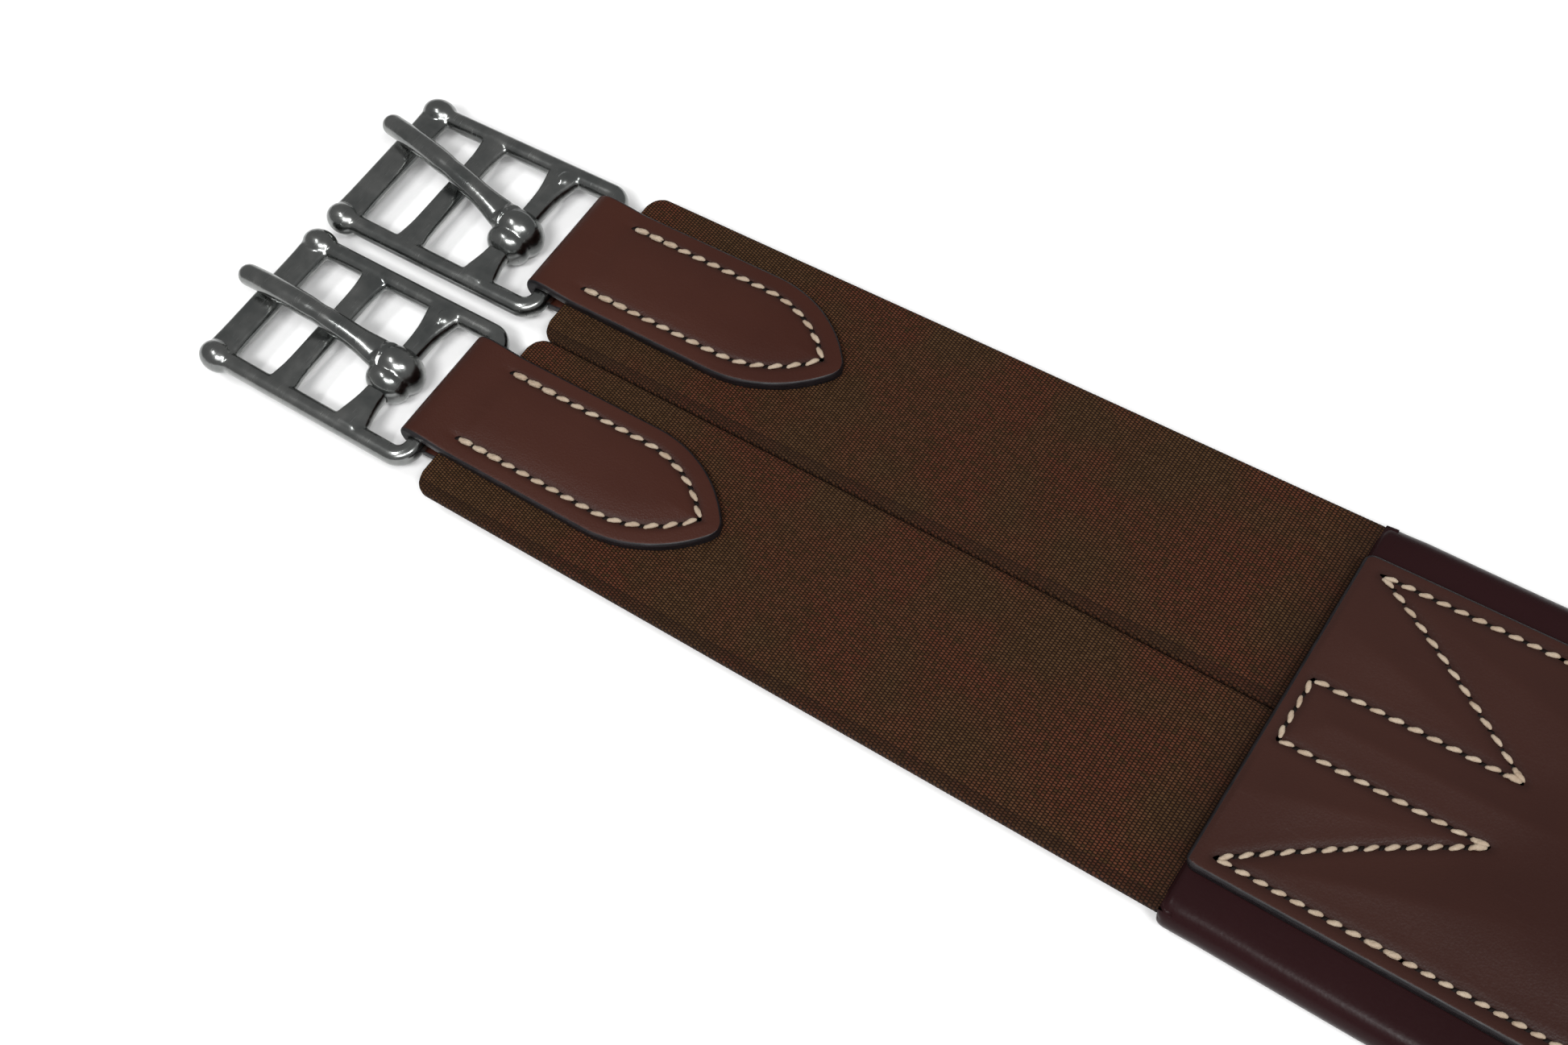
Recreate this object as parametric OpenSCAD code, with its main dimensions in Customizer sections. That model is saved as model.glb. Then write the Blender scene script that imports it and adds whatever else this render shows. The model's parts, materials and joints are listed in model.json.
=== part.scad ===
// Saddle girth: a padded leather body with a pair of elastic bands at each end,
// and each band ends in a leather chape that carries a roller-free girth buckle.
// X runs along the girth, Y across it, and Z is up with the show side on top.

/* [Girth] */
// Length over all four buckle frames
girth_length = 1220; // [900:10:1400]
// Elastic that shows between the body and the buckle end
elastic_shown = 178; // [120:1:220]

/* [Body] */
// Half width of the padded lining
lining_half = 46; // [42:1:60]
// Thickness of the padded lining, outside to outside
lining_height = 9.1; // [9:0.1:11]
// Thickness of the lining leather
lining_wall = 1.2; // [0.8:0.1:1.6]
// Width of the leather strap on top
overlay_width = 72; // [66:1:80]
// Thickness of the leather strap on top
overlay_thick = 2.6; // [2:0.1:4]

/* [Elastic] */
// Width of one elastic band
elastic_width = 44.7; // [40:0.1:45]
// Thickness of one elastic band
elastic_thick = 2.4; // [2:0.1:3]
// Length of each band sewn inside the body
elastic_tail = 45; // [30:1:60]

/* [Chape] */
// Width of the folded leather chape
chape_width = 28.2; // [26:0.1:29]
// Thickness of the chape leather
chape_thick = 2.5; // [2:0.1:2.6]
// Sideways offset of the chape on its band
chape_shift = 0.8; // [0:0.1:0.9]
// Distance from the band's end to the chape's pointed tip
chape_reach = 65.5; // [55:0.5:80]
// Length of the chape's pointed end
chape_point = 25.5; // [18:0.5:30]

/* [Buckle] */
// Clear width between the side rails
buckle_clear = 31.8; // [31:0.1:33]
// Radius of the side rails and the rear bar
rail_r = 2.2; // [2:0.05:2.2]
// Distance from the rear bar's axis to the tongue bar's axis
tongue_bar_gap = 16.6; // [16:0.1:18]
// Distance from the rear bar's axis to the middle bar's axis
middle_bar_gap = 38; // [36:0.1:40]
// Distance from the rear bar's axis to the front bar's outer edge
frame_reach = 61.2; // [60:0.1:64]
// Radius of the tongue bar
tongue_bar_r = 2.6; // [2.4:0.1:3]

/* [Hidden] */
ends = [["near", -1], ["off", 1]];
sides = [["front", -1], ["rear", 1]];
$fn = 64;
eps = 0.01;

// Rear bar's axis lies this far beyond the elastic's end
bar_beyond = 6.5;
band_end_x = girth_length / 2 - frame_reach - bar_beyond;
mouth_x = band_end_x - elastic_shown;
lining_end_x = mouth_x - 0.4;
overlay_end_x = mouth_x;
seam_gap = 0.15;
band_y = elastic_width / 2 + seam_gap;
// The bands lie against the inside of the lining's top
band_z = lining_height - lining_wall - elastic_thick / 2;
elastic_corner = 3.5;
tail_inner = 0.3;
tail_outer = 41;
overlay_corner = 2;
web_half = 26.6;
flap_edge = 26.9;
inner_height = lining_height - 2 * lining_wall;
pocket_top = band_z + elastic_thick / 2;
pocket_base = band_z - elastic_thick / 2;

thread = 0.8;
thread_rise = 0.35;
outer_row = overlay_width / 2 - 3.5;
tab_row = 6.9;
tab_x = overlay_end_x - 3.3;
corner_x = overlay_end_x - 4.6;
vee_x = overlay_end_x - 43;
chape_row = 4.5;

bar_clear = 0.1;
fold_r = rail_r + bar_clear + chape_thick;
fold_taper = 3;
chape_straight = chape_reach - chape_point;
chape_half = chape_width / 2;
// The point's two arcs run smoothly into a small round tip
point_round = 4;
point_out = chape_point - point_round;
arc_r = (point_out * point_out / (chape_half - point_round) + chape_half + point_round) / 2;
arc_drop = arc_r - chape_half;
arc_steps = 12;
round_steps = 6;

rail_y = buckle_clear / 2 + rail_r;
corner_r = 3.6;
front_bar_wide = 8;
front_bar_r = 2.2;
middle_bar_wide = 6.2;
middle_bar_r = 1.9;
ball_r = 3.7;
ball_inset = 3.9;
flare_long = 7.5;
flare_half = 4.6;
flare_thick = 1.7;

eye_clear = 0.08;
eye_r = 6.5;
eye_wide = 6.6;
eye_round = 1.4;
lobe_r = 4.7;
lobe_wide = 4.2;
tongue_r = 2.6;
tip_r = tongue_r - 0.1;
tongue_start = [-tongue_bar_gap - 4.2, 2.8];
tongue_rest = [front_bar_r - frame_reach, front_bar_r + tongue_r + 0.4];
tongue_bow = 1.9;
tongue_past = 3.8;
// The loose tongues lie a little askew: lean in degrees and sideways slide, as [front, rear] of the near end
near_lean = [2, 11.5];
near_slide = [-0.3, -1.6];
tongue_run = tongue_start - tongue_rest;
tongue_chord = norm(tongue_run);
bow_r = (tongue_chord * tongue_chord / 4 + tongue_bow * tongue_bow) / (2 * tongue_bow);
bow_centre = (tongue_start + tongue_rest) / 2
    + (bow_r - tongue_bow) / tongue_chord * [tongue_run[1], -tongue_run[0]];
start_angle = atan2(tongue_start[1] - bow_centre[1], tongue_start[0] - bow_centre[0]);
rest_angle = atan2(tongue_rest[1] - bow_centre[1], tongue_rest[0] - bow_centre[0]);
tip_angle = rest_angle + tongue_past / bow_r * 180 / PI;

leather = [0.24, 0.13, 0.11];
lining_leather = [0.18, 0.10, 0.12];
elastic_brown = [0.24, 0.16, 0.09];
steel = [0.62, 0.63, 0.64];
cream = [0.84, 0.76, 0.69];

// Stands a section drawn in (Y, Z) along X, centred, with the length given
module along_x(long) {
    rotate([90, 0, 90]) linear_extrude(height = long, center = true) children();
}

// Stands a section drawn in (X, Z) across Y, centred, with the width given
module across_y(wide) {
    rotate([90, 0, 0]) linear_extrude(height = wide, center = true) children();
}

// Flat oval with round ends, wide along the first axis
module oval(wide, r) {
    square([wide - 2 * r, 2 * r], center = true);
    for (s = [-1, 1]) translate([s * (wide / 2 - r), 0]) circle(r);
}

module rounded_rectangle(long, wide, r) {
    square([long - 2 * r, wide], center = true);
    square([long, wide - 2 * r], center = true);
    for (x = [-1, 1], y = [-1, 1]) translate([x * (long / 2 - r), y * (wide / 2 - r)]) circle(r);
}

// Puts a piece at one band: X runs inwards from the band's buckle end
module at_band(end, side) {
    rotate([0, 0, end > 0 ? 180 : 0])
        translate([-band_end_x, -side * end * band_y, band_z])
            children();
}

// Puts a piece at one buckle's rear bar axis
module at_bar(end, side) {
    at_band(end, side) translate([-bar_beyond, 0, 0]) children();
}

module elastic_pockets() {
    for (end = [-1, 1])
        translate([end * (lining_end_x - elastic_tail / 2), 0, (pocket_base + pocket_top) / 2])
            cube([elastic_tail + 2 * eps, 2 * tail_outer, elastic_thick], center = true);
}

module lining_cover() {
    color(lining_leather)
        along_x(2 * lining_end_x)
            translate([0, lining_height / 2])
                difference() {
                    oval(2 * lining_half, lining_height / 2);
                    oval(2 * (lining_half - lining_wall), inner_height / 2);
                    translate([-flap_edge, 0]) square([2 * flap_edge, lining_height]);
                }
}

module foam_core() {
    color("dimgray") difference() {
        along_x(2 * lining_end_x)
            translate([0, lining_height / 2])
                oval(2 * (lining_half - lining_wall), inner_height / 2);
        elastic_pockets();
    }
}

module reinforcement_web() {
    color("black")
        translate([0, 0, lining_height - lining_wall / 2])
            cube([2 * lining_end_x, 2 * web_half, lining_wall], center = true);
}

module overlay_strap() {
    color(leather)
        translate([0, 0, lining_height])
            linear_extrude(height = overlay_thick)
                rounded_rectangle(2 * overlay_end_x, overlay_width, overlay_corner);
}

// One straight run of thread between two points
module seam_run(a, b) {
    run = b - a;
    translate((a + b) / 2)
        rotate(atan2(run[1], run[0]))
            square([norm(run) + thread, thread], center = true);
}

// The zigzag at one end: corner, vee, tab, vee, corner
module end_seam(end) {
    path = [
        [end * corner_x, outer_row], [end * vee_x, tab_row], [end * tab_x, tab_row],
        [end * tab_x, -tab_row], [end * vee_x, -tab_row], [end * corner_x, -outer_row]
    ];
    for (i = [0:len(path) - 2]) seam_run(path[i], path[i + 1]);
}

module overlay_stitching() {
    color(cream)
        translate([0, 0, lining_height + overlay_thick])
            linear_extrude(height = thread_rise) {
                for (end = [-1, 1]) end_seam(end);
                for (y = [-outer_row, outer_row]) seam_run([-corner_x, y], [corner_x, y]);
            }
}

// Visible band with its narrower sewn tail
module elastic_band() {
    color(elastic_brown)
        translate([0, 0, -elastic_thick / 2])
            linear_extrude(height = elastic_thick)
                difference() {
                    translate([elastic_shown / 2, 0]) square([elastic_shown, elastic_width], center = true);
                    for (s = [-1, 1]) elastic_corner_cut(s);
                }
}

// What a rounded corner takes off the buckle end
module elastic_corner_cut(s) {
    difference() {
        translate([elastic_corner / 2 - eps, s * (elastic_width / 2 - elastic_corner / 2 + eps)])
            square(elastic_corner + 2 * eps, center = true);
        translate([elastic_corner, s * (elastic_width / 2 - elastic_corner)]) circle(elastic_corner);
    }
}

// Sewn part of a band, in the body's pocket beside the seam
module elastic_tail_piece(side_out) {
    color(elastic_brown)
        translate([elastic_shown, 0, -elastic_thick / 2])
            linear_extrude(height = elastic_thick)
                polygon([
                    [-eps, side_out * (tail_inner - band_y)],
                    [elastic_tail + 0.4, side_out * (tail_inner - band_y)],
                    [elastic_tail + 0.4, side_out * (tail_outer - band_y)],
                    [-eps, side_out * (tail_outer - band_y)]
                ]);
}

module elastic(end, side) {
    at_band(end, side) {
        elastic_band();
        elastic_tail_piece(-side * end);
    }
}

// Points of the pointed end, from one edge to the other, taken in by inset all round
function point_end(inset) =
    let (round_r = max(point_round - inset, 0), r = arc_r - inset,
        out = sqrt((r - round_r) * (r - round_r) - arc_drop * arc_drop), top = acos(arc_drop / (r - round_r)))
    concat(
        [for (i = [0:arc_steps]) let (a = top * i / arc_steps)
            [chape_straight + r * sin(a), arc_drop - r * cos(a)]],
        [for (i = [1:round_steps - 1]) let (a = (90 - top) * (2 * i / round_steps - 1))
            if (round_r > 0) [chape_straight + out + round_r * cos(a), round_r * sin(a)]],
        [for (i = [(round_r > 0 ? arc_steps : arc_steps - 1):-1:0]) let (a = top * i / arc_steps)
            [chape_straight + r * sin(a), r * cos(a) - arc_drop]]
    );

// Plan of the chape, taken in by inset all round
module chape_plan(from_x, inset) {
    half = chape_half - inset;
    polygon(concat([[from_x, half], [from_x, -half]], point_end(inset)));
}

// Side view of the folded chape: ring round the rear bar and two layers
module chape_section() {
    layer_top = elastic_thick / 2 + chape_thick;
    difference() {
        union() {
            translate([-bar_beyond, 0]) circle(fold_r);
            polygon([
                [-bar_beyond, -fold_r], [fold_taper, -layer_top], [chape_reach, -layer_top],
                [chape_reach, layer_top], [fold_taper, layer_top], [-bar_beyond, fold_r]
            ]);
        }
        translate([-bar_beyond, 0]) circle(rail_r + bar_clear);
        translate([0, -elastic_thick / 2]) square([chape_reach + eps, elastic_thick]);
    }
}

module chape(end, side) {
    color(leather)
        at_band(end, side)
            translate([0, chape_shift, 0])
                intersection() {
                    across_y(chape_width) chape_section();
                    translate([0, 0, -2 * fold_r])
                        linear_extrude(height = 4 * fold_r) chape_plan(-bar_beyond - 2 * fold_r, 0);
                }
}

// Thread along the chape's edge, on its upper and its lower face
module chape_stitching(end, side) {
    face = elastic_thick / 2 + chape_thick;
    color(cream)
        at_band(end, side)
            translate([0, chape_shift, 0])
                for (z = [face, -face - thread_rise])
                    translate([0, 0, z])
                        linear_extrude(height = thread_rise)
                            difference() {
                                chape_plan(fold_taper, chape_row - thread / 2);
                                chape_plan(fold_taper - 1, chape_row + thread / 2);
                            }
}

// Straight rails, rear bar and the two bends that join them
module rails() {
    for (s = [-1, 1]) {
        translate([-frame_reach + ball_inset, s * rail_y, 0])
            rotate([0, 90, 0]) cylinder(r = rail_r, h = frame_reach - ball_inset - corner_r);
        translate([-corner_r, s * (rail_y - corner_r), 0])
            rotate([0, 0, s > 0 ? 0 : -90])
                rotate_extrude(angle = 90) translate([corner_r, 0]) circle(rail_r);
    }
    rotate([90, 0, 0]) cylinder(r = rail_r, h = 2 * (rail_y - corner_r), center = true);
}

// Tongue bar, with a web at each end that widens it into the rail
module tongue_bar() {
    translate([-tongue_bar_gap, 0, 0]) {
        rotate([90, 0, 0]) cylinder(r = tongue_bar_r, h = 2 * rail_y - rail_r, center = true);
        linear_extrude(height = 2 * flare_thick, center = true)
            for (s = [-1, 1])
                polygon([
                    [-flare_half, s * rail_y], [flare_half, s * rail_y],
                    [tongue_bar_r - 0.4, s * (rail_y - flare_long)],
                    [0.4 - tongue_bar_r, s * (rail_y - flare_long)]
                ]);
    }
}

module buckle_frame(end, side) {
    color(steel)
        at_bar(end, side) {
            rails();
            tongue_bar();
            translate([-middle_bar_gap, 0, 0]) across_y(2 * rail_y) oval(middle_bar_wide, middle_bar_r);
            translate([-frame_reach + front_bar_wide / 2, 0, 0])
                across_y(2 * rail_y) oval(front_bar_wide, front_bar_r);
            for (s = [-1, 1]) translate([-frame_reach + ball_inset, s * rail_y, 0]) sphere(ball_r);
        }
}

// Disc on the tongue bar's axis with rounded shoulders
module eye_disc(outer, wide) {
    rotate([90, 0, 0])
        rotate_extrude() {
            translate([0, -wide / 2]) square([outer - eye_round, wide]);
            translate([0, -wide / 2 + eye_round]) square([outer, wide - 2 * eye_round]);
            for (s = [-1, 1])
                translate([outer - eye_round, s * (wide / 2 - eye_round)]) circle(eye_round, $fn = 32);
        }
}

// Bowed arm from the eye to the tip
module tongue_arm() {
    translate([bow_centre[0], 0, bow_centre[1]])
        rotate([90, 0, 0])
            rotate([0, 0, start_angle])
                rotate_extrude(angle = tip_angle - start_angle)
                    translate([bow_r, 0]) circle(tongue_r);
    translate([bow_centre[0] + bow_r * cos(tip_angle), 0, bow_centre[1] + bow_r * sin(tip_angle)])
        sphere(tip_r);
}

module buckle_tongue(end, side) {
    which = side > 0 ? 1 : 0;
    lean = end < 0 ? near_lean[which] : 0;
    slide = end < 0 ? near_slide[which] : 0;
    color(steel)
        at_bar(end, side)
            difference() {
                translate([-tongue_bar_gap, slide, 0]) {
                    eye_disc(eye_r, eye_wide);
                    translate([0, -(eye_wide + lobe_wide) / 2 + 1, 0]) eye_disc(lobe_r, lobe_wide);
                    rotate([0, 0, -lean]) translate([tongue_bar_gap, 0, 0]) tongue_arm();
                }
                translate([-tongue_bar_gap, 0, 0])
                    rotate([90, 0, 0])
                        cylinder(r = tongue_bar_r + eye_clear, h = 2 * rail_y, center = true);
            }
}

lining_cover();
foam_core();
reinforcement_web();
overlay_strap();
overlay_stitching();
for (e = ends, s = sides) {
    band = str(e[0], "_", s[0], "_");
    elastic(e[1], s[1]);
    chape(e[1], s[1]);
    chape_stitching(e[1], s[1]);
    buckle_frame(e[1], s[1]);
    buckle_tongue(e[1], s[1]);
}
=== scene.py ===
import json
import math
import random
from math import cos, pi, sin

import bmesh
import bpy
import numpy as np
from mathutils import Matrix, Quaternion, Vector


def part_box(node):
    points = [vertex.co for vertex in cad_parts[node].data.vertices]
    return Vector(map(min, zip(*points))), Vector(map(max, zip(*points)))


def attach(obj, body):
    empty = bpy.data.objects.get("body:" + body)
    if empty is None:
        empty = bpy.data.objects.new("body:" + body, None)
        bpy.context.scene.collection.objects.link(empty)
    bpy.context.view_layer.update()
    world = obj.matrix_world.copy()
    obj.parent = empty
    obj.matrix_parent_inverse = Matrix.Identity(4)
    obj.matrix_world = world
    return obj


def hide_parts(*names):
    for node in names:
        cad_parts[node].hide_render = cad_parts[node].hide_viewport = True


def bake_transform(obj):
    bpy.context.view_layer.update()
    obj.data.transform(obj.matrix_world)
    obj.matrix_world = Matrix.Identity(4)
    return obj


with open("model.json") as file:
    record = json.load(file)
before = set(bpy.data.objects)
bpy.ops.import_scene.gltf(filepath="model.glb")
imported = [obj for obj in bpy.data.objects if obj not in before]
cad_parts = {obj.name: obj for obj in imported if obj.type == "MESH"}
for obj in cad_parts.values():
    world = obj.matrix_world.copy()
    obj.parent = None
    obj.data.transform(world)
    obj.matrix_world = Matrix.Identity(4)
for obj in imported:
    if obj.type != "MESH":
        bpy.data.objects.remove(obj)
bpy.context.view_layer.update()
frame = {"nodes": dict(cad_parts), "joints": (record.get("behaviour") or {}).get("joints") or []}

# Mesh code works in millimetres, and make_object turns them into metres.
MM = 0.001
random.seed(11)


# ---------- sizes read from the frame
def box_mm(node):
    low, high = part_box(node)
    return np.array(low) / MM, np.array(high) / MM


def joint_mm(name):
    joint = next(j for j in frame["joints"] if j["name"] == name)
    return np.array(joint["pos_m"]) / MM


class Band:
    """One elastic band with its chape and buckle. Its own frame starts at the band's buckle end,
    at mid thickness, with X running in towards the body."""

    def __init__(self, end, side):
        self.name = f"{end}_{side}"
        low, high = box_mm(f"{self.name}_elastic")
        self.turn = 1 if end == "near" else -1
        outer_x = low[0] if end == "near" else high[0]
        self.origin = np.array([outer_x, (low[1] + high[1]) / 2, (low[2] + high[2]) / 2])
        self.seam_side = -np.sign(self.origin[1]) * self.turn

    def place(self, points):
        """The band's own points in the shared frame."""
        return np.asarray(points, float) * [self.turn, self.turn, 1] + self.origin

    def local(self, point):
        """A point of the shared frame in the band's own frame."""
        return (np.asarray(point, float) - self.origin) * [self.turn, self.turn, 1]


BANDS = [Band(end, side) for end in ("near", "off") for side in ("front", "rear")]
FIRST = BANDS[0]

strap_low, strap_high = box_mm("overlay_strap")
lining_high = box_mm("lining_cover")[1]
elastic_low, elastic_high = box_mm("near_front_elastic")
chape_low, chape_high = box_mm("near_front_chape")
frame_low = box_mm("near_front_buckle_frame")[0]

STRAP_HALF_LONG = strap_high[0]
STRAP_HALF_WIDE = strap_high[1]
STRAP_THICK = strap_high[2] - strap_low[2]
# The visual cover reaches a little past its CAD solid, over the strap's end
MOUTH_PROUD = 0.3
LINING_HALF_LONG = lining_high[0] + MOUTH_PROUD
LINING_HALF_WIDE = lining_high[1]
LINING_TOP = lining_high[2]

ELASTIC_HALF_WIDE = (elastic_high[1] - elastic_low[1]) / 2
ELASTIC_THICK = elastic_high[2] - elastic_low[2]
ELASTIC_LONG = elastic_high[0] - elastic_low[0]
MOUTH_X = FIRST.local([strap_low[0], 0, 0])[0]

CHAPE_REACH = FIRST.local(chape_high)[0]
CHAPE_HALF = (chape_high[1] - chape_low[1]) / 2
CHAPE_SHIFT = (chape_high[1] + chape_low[1]) / 2 - FIRST.origin[1]
FOLD_R = (chape_high[2] - chape_low[2]) / 2
BAR_X = FIRST.local(joint_mm("near_front_buckle_swing"))[0]
TONGUE_BAR = BAR_X - FIRST.local(joint_mm("near_front_tongue_open"))[0]
FRAME_REACH = BAR_X - FIRST.local(frame_low)[0]

# Sizes that the boxes do not give, the same as the design's own
CHAPE_THICK = 2.5
CHAPE_POINT = 25.5
POINT_ROUND = 4
RAIL_R = 2.2
RAIL_Y = 18.1
CORNER_R = 3.6
MIDDLE_BAR = 38
BALL_INSET = 3.9
TONGUE_R = 2.6

# Each near tongue's lean in degrees and sideways slide, as the design has them
STRAIGHT = (0, 0)
ASKEW = {"near_front": (2, -0.3), "near_rear": (11.5, -1.6)}


# ---------- mesh helpers
def add_object(name, data):
    """A new object in the scene."""
    obj = bpy.data.objects.new(name, data)
    bpy.context.scene.collection.objects.link(obj)
    return obj


def make_object(name, verts, faces, materials, face_material=None, uv=None, painted_seam_shade=None):
    mesh = bpy.data.meshes.new(name)
    mesh.from_pydata((np.asarray(verts) * MM).tolist(), [], faces)
    for material in materials:
        mesh.materials.append(material)
    if face_material is not None:
        mesh.polygons.foreach_set("material_index", np.asarray(face_material, np.int32))
    if uv is not None:
        layer = mesh.uv_layers.new(name="cloth")
        corner = np.zeros(len(mesh.loops), np.int32)
        mesh.loops.foreach_get("vertex_index", corner)
        layer.data.foreach_set("uv", (np.asarray(uv) * MM)[corner].astype(np.float32).ravel())
    if painted_seam_shade is not None:
        # Painted shade along the seams: this point attribute says how far the leather is darkened there
        mark = mesh.attributes.new("painted_seam_shade", "FLOAT", "POINT")
        mark.data.foreach_set("value", np.asarray(painted_seam_shade, np.float32))
    tidy = bmesh.new()
    tidy.from_mesh(mesh)
    bmesh.ops.recalc_face_normals(tidy, faces=tidy.faces)
    tidy.to_mesh(mesh)
    tidy.free()
    mesh.polygons.foreach_set("use_smooth", np.ones(len(mesh.polygons), bool))
    mesh.update()
    return add_object(name, mesh)


def loft(rings, side_material=None, cap_material=0):
    """Skins a list of equal closed rings and closes both ends. Returns vertices, faces and face materials."""
    rings = np.asarray(rings, float)
    count, sides = rings.shape[:2]
    verts = list(rings.reshape(-1, 3))
    faces, materials = [], []
    for i in range(count - 1):
        for j in range(sides):
            k = (j + 1) % sides
            faces.append((i * sides + j, i * sides + k, (i + 1) * sides + k, (i + 1) * sides + j))
            materials.append(side_material[j] if side_material is not None else 0)
    for i in (0, count - 1):
        verts.append(rings[i].mean(axis=0))
        for j in range(sides):
            faces.append((i * sides + j, i * sides + (j + 1) % sides, len(verts) - 1))
            materials.append(cap_material)
    return verts, faces, materials


def joined(parts):
    """Joins (vertices, faces, materials) lists into one."""
    verts, faces, materials = [], [], []
    for part_verts, part_faces, part_materials in parts:
        start = len(verts)
        verts.extend(part_verts)
        faces.extend(tuple(i + start for i in face) for face in part_faces)
        materials.extend(part_materials)
    return verts, faces, materials


def tube(path, radii, sides=20, power=2.0, across=(0, 0, 1), undercut=0.0):
    """Bar along a flat path; radii are (in the path's plane, along across) at each point.
    undercut is how much narrower the bar is beneath."""
    path = np.asarray(path, float)
    tangent = np.gradient(path, axis=0)
    tangent /= np.linalg.norm(tangent, axis=1)[:, None]
    across = np.asarray(across, float)
    rings = []
    for point, direction, (inside, outside) in zip(path, tangent, radii):
        flat = np.cross(across, direction)
        ring = []
        for k in range(sides):
            a = 2 * pi * k / sides
            c = math.copysign(abs(cos(a)) ** (2 / power), cos(a))
            s = math.copysign(abs(sin(a)) ** (2 / power), sin(a))
            ring.append(point + flat * inside * c * (1 + undercut * min(s, 0)) + across * outside * s)
        rings.append(ring)
    return loft(rings)


def ball(centre, radii, steps=12):
    """Closed ellipsoid with its poles on X."""
    rings = []
    for i in range(1, steps):
        a = pi * i / steps
        ring = [
            (
                centre[0] - radii[0] * cos(a),
                centre[1] + radii[1] * sin(a) * cos(b),
                centre[2] + radii[2] * sin(a) * sin(b),
            )
            for b in np.linspace(0, 2 * pi, 2 * steps, endpoint=False)
        ]
        rings.append(ring)
    return loft(rings)


def points_mm(mesh):
    """The mesh's points in millimetres."""
    flat = np.zeros(len(mesh.vertices) * 3, np.float32)
    mesh.vertices.foreach_get("co", flat)
    return flat.reshape(-1, 3).astype(float) / MM


def with_modifiers(obj):
    """A new mesh of the object with its modifiers applied."""
    bpy.context.view_layer.update()
    return bpy.data.meshes.new_from_object(obj.evaluated_get(bpy.context.evaluated_depsgraph_get()))


RELAX = 0.5
PUSH_BACK = -0.52


def soften(verts, edges, rounds):
    """Smooths a closed mesh without shrinking it: each round relaxes the points, then pushes them back."""
    count = len(verts)
    ends = np.concatenate([edges, edges[:, ::-1]])
    share = np.bincount(ends[:, 0], minlength=count)[:, None]
    for _ in range(rounds):
        for pull in (RELAX, PUSH_BACK):
            near = [np.bincount(ends[:, 0], verts[ends[:, 1], i], count) for i in range(3)]
            verts = verts + pull * (np.column_stack(near) / share - verts)
    return verts


def cast_mesh(name, parts, voxel, rounds, bore=None):
    """Melts overlapping bars into one cast piece with soft fillets. bore is a closed mesh to cut away."""
    verts, faces, _ = joined(parts)
    obj = make_object(name, verts, faces, [])
    remesh = obj.modifiers.new("melt", "REMESH")
    remesh.mode = "VOXEL"
    remesh.voxel_size = voxel * MM
    melted = with_modifiers(obj)
    obj.modifiers.clear()
    obj.data = melted
    edges = np.zeros(len(melted.edges) * 2, np.int32)
    melted.edges.foreach_get("vertices", edges)
    smooth = soften(points_mm(melted), edges.reshape(-1, 2), rounds) * MM
    melted.vertices.foreach_set("co", smooth.astype(np.float32).ravel())
    melted.update()
    if bore is not None:
        cutter = make_object("bore", *bore[:2], [])
        cut = obj.modifiers.new("cut", "BOOLEAN")
        cut.operation = "DIFFERENCE"
        cut.solver = "EXACT"
        cut.object = cutter
        melted = with_modifiers(obj)
        bpy.data.objects.remove(cutter)
    found = [tuple(p.vertices) for p in melted.polygons]
    bpy.data.objects.remove(obj)
    return points_mm(melted), found


# ---------- seams
def polyline_distance(points, line):
    """Distance from each (x, y) point to a polyline."""
    best = np.full(len(points), 1e9)
    for a, b in zip(line[:-1], line[1:]):
        a, b = np.asarray(a, float), np.asarray(b, float)
        run = b - a
        t = np.clip(((points - a) @ run) / (run @ run), 0, 1)
        best = np.minimum(best, np.linalg.norm(points - a - t[:, None] * run, axis=1))
    return best


def bowed(a, b, bow, steps=8):
    """Points from a to b on a shallow curve that bulges by bow towards +Y."""
    a, b = np.asarray(a, float), np.asarray(b, float)
    return [
        a + (b - a) * t + np.array([0, 4 * bow * t * (1 - t)])
        for t in np.linspace(0, 1, steps + 1)
    ]


def walk(line, pitch):
    """Even steps along a polyline: (middle, direction) of each stitch."""
    line = np.asarray(line, float)
    lengths = np.linalg.norm(np.diff(line, axis=0), axis=1)
    along = np.concatenate([[0], np.cumsum(lengths)])
    count = max(1, round(along[-1] / pitch))
    marks = np.linspace(0, along[-1], count + 1)
    knots = np.array([[np.interp(m, along, line[:, i]) for i in (0, 1)] for m in marks])
    for a, b in zip(knots[:-1], knots[1:]):
        yield (a + b) / 2, b - a


# A stitch: how much of its pitch it fills, its random turn, its arch over the leather, how deep its ends
# sink, and the two plies' bulge and twist
STITCH_SIDES = 8
STITCH_RINGS = 11
STITCH_FILL = 0.84
STITCH_JITTER = 0.05
STITCH_ARCH = 0.42
STITCH_SINK = 0.16
PLY_BULGE = 0.16
PLY_TWIST = 2.4
THREAD_WIDE = 1.1
THREAD_TALL = 0.85


def stitch(middle, run, height, thick, slant, face):
    """One twisted two-ply stitch that dips into the leather at both ends. face is 1 on top, -1 beneath."""
    long = np.linalg.norm(run) * STITCH_FILL
    turn = math.atan2(run[1], run[0]) + slant * face + random.uniform(-STITCH_JITTER, STITCH_JITTER)
    along = np.array([cos(turn), sin(turn)])
    side = np.array([-along[1], along[0]])
    rings = []
    for i in range(STITCH_RINGS):
        t = 2 * i / (STITCH_RINGS - 1) - 1
        swell = math.sqrt(max(1 - abs(t) ** 5, 0.03))
        rise = STITCH_ARCH * (1 - t * t) - STITCH_SINK
        ring = []
        for k in range(STITCH_SIDES):
            a = 2 * pi * k / STITCH_SIDES
            ply = 1 + PLY_BULGE * cos(2 * (a - PLY_TWIST * t))
            out = thick * THREAD_WIDE * swell * ply * cos(a)
            up = thick * THREAD_TALL * swell * ply * sin(a) + rise
            flat = middle + along * t * long / 2 + side * out
            ring.append((flat[0], flat[1], height + face * up))
        rings.append(ring)
    return loft(rings)


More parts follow.
